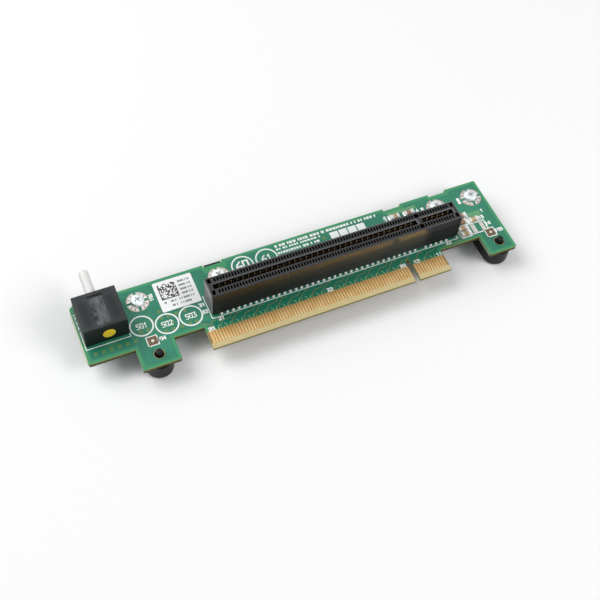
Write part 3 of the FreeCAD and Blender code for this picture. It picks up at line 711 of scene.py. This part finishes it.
# Lid switch: a black cover over a base with two stamped terminals. A white plunger stands out of the
# far wall, and a coil spring behind it lets the server's lid push it in and brings it back.
switch_plastic = Finish("switch_plastic", Specular_IOR_Level=0.3)
lid = switch_plastic.z.rise(8.15, 8.2)
panel_height = switch_plastic.z.between(8.1, 8.32, 0.02)
panel = switch_plastic.patch(-104.2, -99.9, 15.9, 26.2, 0.5, 0.3) * panel_height
smear = switch_plastic.noise(0.9, 5, (1, 0.2, 1)).rise(0.36, 0.64)
scuff = switch_plastic.noise(1.1, 4).rise(0.45, 0.52)
scuff = scuff * switch_plastic.patch(-104.9, -103.2, 17.5, 23.5, 0.3, 0.8)
haze = switch_plastic.noise(5, 3, (1, 0.35, 1)).rise(0.35, 0.65)
columns = switch_plastic.patches(((-108.0, -105.4, 16.5, 25.5), (-98.9, -96.5, 16.5, 25.5)), 0.5, 1.2)
grit = switch_plastic.noise(0.2, 2)
# Painted light and shade: the sides are painted near black, as in shade, and the top a lighter grey, partly
# as lit and partly hazed with wear.
plain = switch_plastic.mix(grit, (0.002, 0.0025, 0.003), (0.005, 0.006, 0.006))
worn = switch_plastic.mix(haze, (0.014, 0.016, 0.018), (0.036, 0.041, 0.043))
worn = switch_plastic.mix(columns, worn, (0.009, 0.011, 0.012))
dusty = switch_plastic.mix(smear, (0.042, 0.048, 0.050), (0.125, 0.135, 0.135))
shown = switch_plastic.mix(panel, switch_plastic.mix(lid, plain, worn), dusty)
switch_plastic.feed("Base Color", switch_plastic.mix(scuff, shown, (0.010, 0.011, 0.012)))
switch_plastic.feed("Roughness", 0.42 + panel * 0.15 + grit * 0.1)
switch_plastic.bump(grit + panel * smear * 0.8, 0.02)
dress("switch_cover", switch_plastic)
dress("switch_base", switch_plastic)


def rounded(radius, start, end, steps):
    """Points (radius, height) of a side that rounds over from one height to an end face at the other."""
    points = [(radius, start)]
    for i in range(1, steps + 1):
        a = math.pi / 2 * i / steps
        points.append((radius - abs(end - start) * (1 - math.cos(a)), start + (end - start) * math.sin(a)))
    return points


plunger_low, plunger_high = box("switch_plunger")
plunger_x, plunger_z = (plunger_low.x + plunger_high.x) / 2, 4.2
plunger_radius, tip_round, stem_half = 1.65, 0.95, 0.8
plunger_back, plunger_stop, plunger_tip = 25.55, 27.15, plunger_high.y
plunger = bmesh.new()
rod = [(0, plunger_stop), (plunger_radius, plunger_stop)]
rod += rounded(plunger_radius, plunger_tip - tip_round, plunger_tip, 6) + [(0, plunger_tip)]
lathe(plunger, rod, 0, 0, 40)
bmesh.ops.rotate(plunger, matrix=Matrix.Rotation(-math.pi / 2, 3, "X"), verts=plunger.verts)
bmesh.ops.translate(plunger, vec=(plunger_x, 0, plunger_z), verts=plunger.verts)
head_low, head_high = box("switch_wiper")[1].z, plunger_high.z
block(plunger, plunger_low.x, plunger_high.x, plunger_back, plunger_stop + 0.02, head_low, head_high)
block(
    plunger, plunger_x - stem_half, plunger_x + stem_half, plunger_low.y, plunger_back + 0.02,
    plunger_z - stem_half, plunger_z + stem_half)
white_plastic = Finish("white_plastic", IOR=1.5)
wear_and_shade = white_plastic.noise(0.9, 3, (1, 0.3, 1))
white = white_plastic.mix(wear_and_shade.rise(0.35, 0.7), (0.81, 0.81, 0.79), (0.74, 0.74, 0.71))
white_plastic.feed("Base Color", white)
white_plastic.feed("Roughness", 0.36 + wear_and_shade * 0.15)
white_plastic.bump(wear_and_shade, 0.01)
plunger_piece = piece("plunger_rod", plunger, white_plastic, body="plunger")
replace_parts(plunger_piece, "switch_plunger")

spring_start, spring_end, spring_turns = 16.22, 25.37, 4
coil_radius, wire_radius = 1.75, 0.175
turn_steps, wire_sides = 24, 8
spring = bmesh.new()
sections = []
for i in range(spring_turns * turn_steps + 1):
    turn = 2 * math.pi * i / turn_steps
    centre_y = spring_start + (spring_end - spring_start) * i / (spring_turns * turn_steps)
    section = []
    for out, y in circle(coil_radius, centre_y, wire_radius, wire_sides):
        x, z = plunger_x + out * math.cos(turn), plunger_z + out * math.sin(turn)
        section.append(spring.verts.new((x, y, z)))
    sections.append(section)
for a, b in zip(sections, sections[1:]):
    for i in range(wire_sides):
        j = (i + 1) % wire_sides
        spring.faces.new((a[i], a[j], b[j], b[i]))
spring.faces.new(sections[0])
spring.faces.new(sections[-1][::-1])
spring_steel = Finish("spring_steel", Metallic=1.0)
drawn = spring_steel.noise(0.15, 2)
spring_steel.feed("Base Color", spring_steel.mix(drawn, (0.50, 0.50, 0.50), (0.68, 0.67, 0.65)))
spring_steel.feed("Roughness", 0.25 + drawn * 0.2)
coil = piece("return_spring", spring, spring_steel)
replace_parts(coil, "switch_spring")
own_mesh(coil)

dot_x, dot_y, dot_z = -101.4, box("switch_cover")[0].y, 3.75
dot_radius = 2.05
dot = bmesh.new()
drop = [(0, -0.03), (dot_radius, -0.03), (dot_radius, 0.02), (dot_radius - 0.11, 0.05), (0, 0.06)]
lathe(dot, drop, 0, 0, 40)
bmesh.ops.rotate(dot, matrix=Matrix.Rotation(math.pi / 2, 3, "X"), verts=dot.verts)
bmesh.ops.translate(dot, vec=(dot_x, dot_y, dot_z), verts=dot.verts)
yellow_paint = Finish("yellow_paint", Roughness=0.42)
brushed = yellow_paint.noise(0.7, 3)
yellow_paint.feed("Base Color", yellow_paint.mix(brushed, (1.0, 0.66, 0.02), (1.0, 0.74, 0.04)))
yellow_paint.bump(brushed, 0.03)
piece("paint_dot", dot, yellow_paint)

terminal_offset, terminal_y = 2.2, 17.35
pin_joint = (
    (0, -2.95), (0.42, -2.9), (0.5, -2.4), (0.7, -1.9), (1.0, -1.62), (1.0, -1.56), (0, -1.55))
switch_joints = bmesh.new()
for x in (plunger_x - terminal_offset, plunger_x + terminal_offset):
    lathe(switch_joints, pin_joint, x, terminal_y, 16)
piece("switch_solder_joints", switch_joints, solder)

# Guides: black moulded blocks with round ends under the two tabs. A pin stands up through each tab
# hole, a screw comes down into the far end, and the lower rim is rounded to ride in the server's rails.
guide_low, guide_high = box("guide_left")
guide_left_x, guide_right_x = -89.25, 33.3
guide_radius, rim_radius = 4.6, 1.0
guide_near_y, screw_row = guide_low.y + guide_radius, guide_high.y - guide_radius
guide_bottom, pin_top = guide_low.z, guide_high.z
pin_offset, pin_radius = 0.3, 1.1
end_steps = 14
guide_plastic = Finish("guide_plastic", Specular_IOR_Level=0.25)
ripples = guide_plastic.noise(2.5, 3)
pores = guide_plastic.noise(0.2, 2)
guide_plastic.feed("Base Color", guide_plastic.mix(ripples, (0.004, 0.004, 0.0045), (0.009, 0.009, 0.010)))
guide_plastic.feed("Roughness", 0.34 + ripples * 0.14 + pores * 0.06)
guide_plastic.bump(pores, 0.012)


def obround(x, radius):
    """Points round a shape with two straight sides along Y and round ends."""
    points = []
    for centre, start in ((screw_row, 0.0), (guide_near_y, math.pi)):
        for i in range(end_steps + 1):
            a = start + math.pi * i / end_steps
            points.append((x + radius * math.cos(a), centre + radius * math.sin(a)))
    return points


for name, x in (("guide_left", guide_left_x), ("guide_right", guide_right_x)):
    guide = bmesh.new()
    levels = [(guide_radius, -board_thickness)]
    levels += rounded(guide_radius, guide_bottom + rim_radius, guide_bottom, 5)
    rows = [[guide.verts.new((px, py, z)) for px, py in obround(x, radius)] for radius, z in levels]
    guide.faces.new(rows[0])
    guide.faces.new(rows[-1][::-1])
    for a, b in zip(rows, rows[1:]):
        for i in range(len(a)):
            j = (i + 1) % len(a)
            guide.faces.new((a[i], b[i], b[j], a[j]))
    pin = [(0, pin_top), (pin_radius * 0.6, pin_top), (pin_radius * 0.9, pin_top - 0.15)]
    pin += [(pin_radius, pin_top - 0.4), (pin_radius, -board_thickness - 0.1)]
    lathe(guide, pin, x + pin_offset, guide_near_y, 28)
    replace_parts(piece("rail_" + name, guide, guide_plastic), name)

# Brace: a black ribbed moulding under the slot, held by the two middle screws. It stiffens the board
# where the card is pushed in, and its ear hooks round the board's far edge in the left recess.
dress("support_brace", guide_plastic)

# Screws: four nickel-plated steel pan heads, 4.6 mm across, with a cross recess, driven down through
# the earthed lands. The two outer ones hold the guides, and the two middle ones hold the brace.
head_radius, head_height, head_round = 2.3, 1.6, 0.75
shank_radius, thread_start, thread_pitch, thread_depth = 1.25, -1.6, 0.5, 0.22
guide_screw_length, brace_screw_length = 6.5, 5.57
brace_left_x, brace_right_x = -61.4, 19.7
cross_levels = ((1.15, 0.26, head_height + 0.3), (0.7, 0.22, 0.6))      # half length, half width, height
head = bmesh.new()
dome = [(0, 0.0), (head_radius - 0.1, 0.0), (head_radius, 0.1)]
dome += rounded(head_radius, head_round, head_round * 2, 7)
dome += [(1.0, head_height - 0.03), (0, head_height)]
lathe(head, dome, 0, 0, 48)
cutter = bmesh.new()
for turn in (0, math.pi / 2):
    along = Vector((math.cos(turn), math.sin(turn)))
    across = Vector((-math.sin(turn), math.cos(turn)))
    rows = []
    for reach, half, z in cross_levels:
        rows.append([
            cutter.verts.new((*(along * sx * reach + across * sy * half), z))
            for sx, sy in ((1, 1), (-1, 1), (-1, -1), (1, -1))])
    cutter.faces.new(rows[0])
    cutter.faces.new(rows[1][::-1])
    for i in range(4):
        j = (i + 1) % 4
        cutter.faces.new((rows[0][i], rows[1][i], rows[1][j], rows[0][j]))
forms = []
for name, bm in (("head_form", head), ("recess_form", cutter)):
    bmesh.ops.recalc_face_normals(bm, faces=bm.faces)
    data = bpy.data.meshes.new(name)
    bm.to_mesh(data)
    bm.free()
    form = bpy.data.objects.new(name, data)
    bpy.context.scene.collection.objects.link(form)
    forms.append(form)
carve = forms[0].modifiers.new("cross_recess", "BOOLEAN")
carve.operation = "DIFFERENCE"
carve.solver = "EXACT"
carve.use_self = True
carve.object = forms[1]
carved = bpy.data.meshes.new_from_object(forms[0].evaluated_get(bpy.context.evaluated_depsgraph_get()))
for form in forms:
    bpy.data.objects.remove(form)

fasteners = bmesh.new()
for x, length, turn in (
        (guide_left_x, guide_screw_length, 0.5), (guide_right_x, guide_screw_length, 0.15),
        (brace_left_x, brace_screw_length, 0.9), (brace_right_x, brace_screw_length, 0.35)):
    before = set(fasteners.verts)
    fasteners.from_mesh(carved)
    fresh = [v for v in fasteners.verts if v not in before]
    bmesh.ops.rotate(fasteners, matrix=Matrix.Rotation(turn, 3, "Z"), verts=fresh)
    bmesh.ops.translate(fasteners, vec=(x, screw_row, 0.0), verts=fresh)
    shank = [(0, 0.05), (shank_radius, 0.05), (shank_radius, thread_start)]
    z = thread_start
    while z - thread_pitch > -length + 0.3:
        shank += [(shank_radius - thread_depth, z - thread_pitch / 2), (shank_radius, z - thread_pitch)]
        z -= thread_pitch
    shank += [(shank_radius - 0.3, -length), (0, -length)]
    lathe(fasteners, shank, x, screw_row, 24)
nickel = Finish("screw_plating", Metallic=1.0)
stain = nickel.noise(1.0, 3)
fine_wear = nickel.noise(0.16, 2)
nickel.feed("Base Color", nickel.mix(stain.rise(0.35, 0.7), (0.84, 0.86, 0.86), (0.60, 0.64, 0.66)))
nickel.feed("Roughness", 0.42 + stain * 0.2 + fine_wear * 0.1)
nickel.bump(fine_wear + stain, 0.04)
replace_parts(piece("pan_head_screws", fasteners, nickel), "screws")

# Label: coated white paper stuck to the mask, printed by a thermal printer. The print is a square of
# random cells between two solid rules, and six rows of dashes.
label_low, label_high = box("label")
label_corner = 0.5
sticker = bmesh.new()
outline = []
for cx, cy, start in (
        (label_high.x - label_corner, label_low.y + label_corner, -0.5),
        (label_high.x - label_corner, label_high.y - label_corner, 0.0),
        (label_low.x + label_corner, label_high.y - label_corner, 0.5),
        (label_low.x + label_corner, label_low.y + label_corner, 1.0)):
    for i in range(6):
        a = math.pi * (start + 0.1 * i)
        outline.append((cx + label_corner * math.cos(a), cy + label_corner * math.sin(a)))
prism(sticker, outline, 0.0, label_high.z)
paper = Finish("label_paper", IOR=1.45)


def cells(width, height, share):
    """1 in a random share of the cells of a grid this size, in millimetres, and 0 in the others."""
    size = (width, height, 1000)
    steps = paper.node("ShaderNodeVectorMath", {"operation": "DIVIDE"}, {0: paper.point, 1: size})
    corner = paper.node("ShaderNodeVectorMath", {"operation": "FLOOR"}, {0: steps})
    chance = paper.node("ShaderNodeTexWhiteNoise", {"noise_dimensions": "2D"}, {"Vector": corner})
    return chance.rise(1 - share - 0.001, 1 - share + 0.001)


cell, dash = 0.42, 0.36
code_left, code_near, code_size, rule = -81.75, 22.5, 6.0, 0.35
code = paper.patch(code_left, code_left + code_size, code_near, code_near + code_size, 0.01)
left_rule = 1 - paper.x.rise(code_left + rule, code_left + rule + 0.05)
near_rule = 1 - paper.y.rise(code_near + rule, code_near + rule + 0.05)
rows = (
    (-75.0, -71.0, 27.5, 28.25), (-75.0, -71.0, 25.9, 26.65), (-75.0, -71.0, 24.3, 25.05),
    (-75.0, -71.0, 22.7, 23.45), (-81.7, -71.2, 20.95, 21.7), (-80.2, -72.4, 19.25, 20.0))
dashes = paper.patches(rows, 0.02, 0.05) * cells(dash, 50, 0.62) * 0.72
printed = code * (cells(cell, cell, 0.5) | left_rule | near_rule) | dashes
fibre = paper.noise(0.5, 4)
sheet = paper.mix(fibre, (0.87, 0.88, 0.88), (0.92, 0.925, 0.925))
paper.feed("Base Color", paper.mix(printed, sheet, (0.045, 0.045, 0.05)))
paper.feed("Roughness", 0.5 + fibre * 0.15)
paper.bump(paper.noise(4, 2) + fibre * 0.15, 0.04)
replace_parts(piece("stuck_label", sticker, paper), "label")

# Studio: a pale floor that the guides stand on, a large soft lamp high at the back left, a weaker one
# in front, and the camera where the photograph was taken from.
floor_reach, floor_top = 1500, guide_bottom - 0.02
floor_mesh = bmesh.new()
block(floor_mesh, -floor_reach, floor_reach, -floor_reach, floor_reach, guide_bottom - 2, floor_top)
floor_finish = Finish("floor_paper", Roughness=0.9)
rays = floor_finish.node("ShaderNodeLightPath").socket.node.outputs
seen = Wire(floor_finish, rays["Is Camera Ray"]) | Wire(floor_finish, rays["Is Glossy Ray"])
seen = seen | Wire(floor_finish, rays["Is Transmission Ray"])
paper_grain = floor_finish.noise(2.0, 3) * 0.02
backing = floor_finish.mix(seen, (0.42, 0.42, 0.42), (0.93, 0.93, 0.93))
floor_finish.feed("Base Color", floor_finish.shade(backing, 1 - paper_grain))
floor = piece("floor", floor_mesh, floor_finish, smooth=False)
floor.parent = None
del floor["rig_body"]

world_light, world_seen = 0.36, 0.85    # how bright the backdrop lights the card, and how it shows
world = bpy.data.worlds.new("studio")
bpy.context.scene.world = world
world.use_nodes = True
backdrop = world.node_tree.nodes["Background"]
backdrop.inputs["Color"].default_value = (0.97, 0.985, 1.0, 1)
rays = world.node_tree.nodes.new("ShaderNodeLightPath")
shown = rays.outputs["Is Camera Ray"]
for other in ("Is Glossy Ray", "Is Transmission Ray"):
    either = world.node_tree.nodes.new("ShaderNodeMath")
    either.operation = "MAXIMUM"
    world.node_tree.links.new(shown, either.inputs[0])
    world.node_tree.links.new(rays.outputs[other], either.inputs[1])
    shown = either.outputs[0]
strength = world.node_tree.nodes.new("ShaderNodeMapRange")
strength.inputs["To Min"].default_value = world_light
strength.inputs["To Max"].default_value = world_seen
world.node_tree.links.new(shown, strength.inputs["Value"])
world.node_tree.links.new(strength.outputs["Result"], backdrop.inputs["Strength"])
target = Vector((-0.036, 0.017, 0.0))
for name, place, size, watts in (
        ("key_lamp", (-0.60, 0.50, 0.80), 0.8, 8.4),
        ("fill_lamp", (0.55, -0.50, 0.66), 0.5, 4.6)):
    lamp = bpy.data.lights.new(name, "AREA")
    lamp.shape = "SQUARE"
    lamp.size = size
    lamp.energy = watts
    holder = bpy.data.objects.new(name, lamp)
    holder.location = place
    holder.rotation_mode = "QUATERNION"
    holder.rotation_quaternion = (target - Vector(place)).to_track_quat("-Z", "Y")
    bpy.context.scene.collection.objects.link(holder)

eye = Vector((-0.124137, -0.146691, 0.269596))
ahead = Vector((0.26146, 0.47758, -0.83878)).normalized()
above = Vector((0.30285, 0.78453, 0.54110))
right = ahead.cross(above).normalized()
above = right.cross(ahead)
camera_data = bpy.data.cameras.new("camera")
camera_data.sensor_width = 36.0
camera_data.lens = 59.226
camera_data.clip_start = 0.01
camera_data.clip_end = 20.0
camera = bpy.data.objects.new("camera", camera_data)
camera.matrix_world = Matrix.Translation(eye) @ Matrix((right, above, -ahead)).transposed().to_4x4()
bpy.context.scene.collection.objects.link(camera)
bpy.context.scene.camera = camera
bpy.context.scene.view_settings.view_transform = "Standard"
